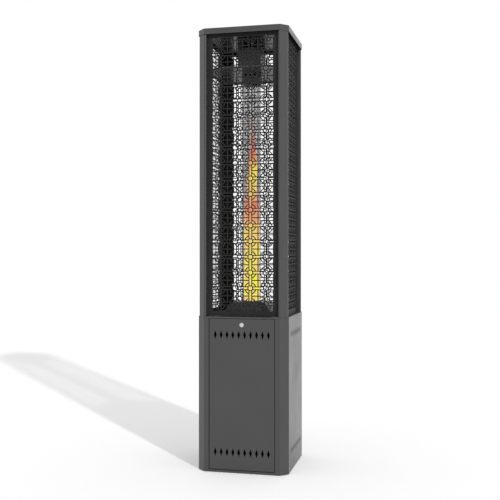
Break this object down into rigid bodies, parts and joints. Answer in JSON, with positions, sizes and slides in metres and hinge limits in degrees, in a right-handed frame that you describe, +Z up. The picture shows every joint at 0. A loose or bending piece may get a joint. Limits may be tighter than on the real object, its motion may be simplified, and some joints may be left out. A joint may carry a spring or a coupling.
{
  "type": "tower patio heater",
  "caption": "Square tower patio heater: gas bottle cabinet with a tilt-out door, and above it a flame in a glass tube inside a cage of perforated ornamental panels.",
  "frame": {"origin": "on the floor under the middle of the tower", "axes": "+Z up; the door faces -Y; +X is to the right of someone who faces the door"},
  "size_m": [0.4, 0.4, 1.916],
  "materials": {
    "anthracite_powder_coat": "satin powder coat",
    "black_stove_paint": "matt heat-proof paint",
    "dark_steel": "matt",
    "polished_steel": "polished",
    "zinc_plated_steel": "satin",
    "brass": "satin",
    "copper": "satin",
    "ceramic": null,
    "fibre": "woven glass fibre",
    "black_plastic": "matt",
    "red_plastic": "gloss",
    "rubber": "matt",
    "clear_glass": "clear"
  },
  "bodies": {
    "tower": {"base_side_right": "anthracite_powder_coat", "base_side_left": "anthracite_powder_coat", "base_back_panel": "anthracite_powder_coat", "base_deck": "anthracite_powder_coat", "base_floor_pan": "anthracite_powder_coat", "front_sill": "anthracite_powder_coat", "door_header": "anthracite_powder_coat", "cap": "anthracite_powder_coat", "post_front_right": "anthracite_powder_coat", "post_back_right": "anthracite_powder_coat", "post_back_left": "anthracite_powder_coat", "post_front_left": "anthracite_powder_coat", "burner_housing": "anthracite_powder_coat", "heat_plate": "anthracite_powder_coat", "chimney_box": "anthracite_powder_coat", "chimney_hood": "anthracite_powder_coat", "cage_ceiling": "anthracite_powder_coat", "foot_front_right": "rubber", "foot_back_right": "rubber", "foot_back_left": "rubber", "foot_front_left": "rubber", "lattice_front": "black_stove_paint", "lattice_right": "black_stove_paint", "lattice_back": "black_stove_paint", "lattice_left": "black_stove_paint", "upper_collar": "dark_steel", "glass_seat_ring": "dark_steel", "burner_head": "dark_steel", "thermocouple": "polished_steel", "mixing_tube": "zinc_plated_steel", "burner_bracket": "zinc_plated_steel", "pilot_plate": "zinc_plated_steel", "control_bracket": "zinc_plated_steel", "injector": "brass", "pilot_tube": "brass", "valve_body": "brass", "gas_inlet": "brass", "gas_pipe": "copper", "spark_electrode": "ceramic", "glass_gasket_lower": "fibre", "glass_gasket_upper": "fibre", "igniter_body": "black_plastic", "igniter_nut": "black_plastic", "tilt_switch": "black_plastic", "glass_tube": "clear_glass"},
    "door": {"door_panel": "anthracite_powder_coat", "lock_barrel": "polished_steel", "lock_nut": "zinc_plated_steel"},
    "lock": {"lock_core": "polished_steel", "lock_cam": "zinc_plated_steel", "lock_cam_screw": "zinc_plated_steel"},
    "spindle": {"valve_spindle": "polished_steel"},
    "knob": {"control_knob": "black_plastic"},
    "button": {"igniter_button": "red_plastic"}
  },
  "joints": [
    {"name": "door_tilt", "type": "hinge", "parent": "tower", "child": "door", "pos_m": [0, -0.198, 0.0138], "axis": [1, 0, 0], "range_deg": [0, 65]},
    {"name": "lock_turn", "type": "hinge", "parent": "door", "child": "lock", "pos_m": [0, -0.198, 0.6365], "axis": [0, 1, 0], "range_deg": [0, 90]},
    {"name": "valve_turn", "type": "hinge", "parent": "tower", "child": "spindle", "pos_m": [0.08, -0.15, 0.635], "axis": [0, -1, 0], "range_deg": [0, 180]},
    {"name": "knob_push", "type": "slide", "parent": "spindle", "child": "knob", "axis": [0, 1, 0], "range_m": [0, 0.004], "stiffness_N_per_m": 400, "springref_m": -0.002},
    {"name": "igniter_push", "type": "slide", "parent": "tower", "child": "button", "axis": [0, 1, 0], "range_m": [0, 0.006], "stiffness_N_per_m": 400, "springref_m": -0.003}
  ]
}
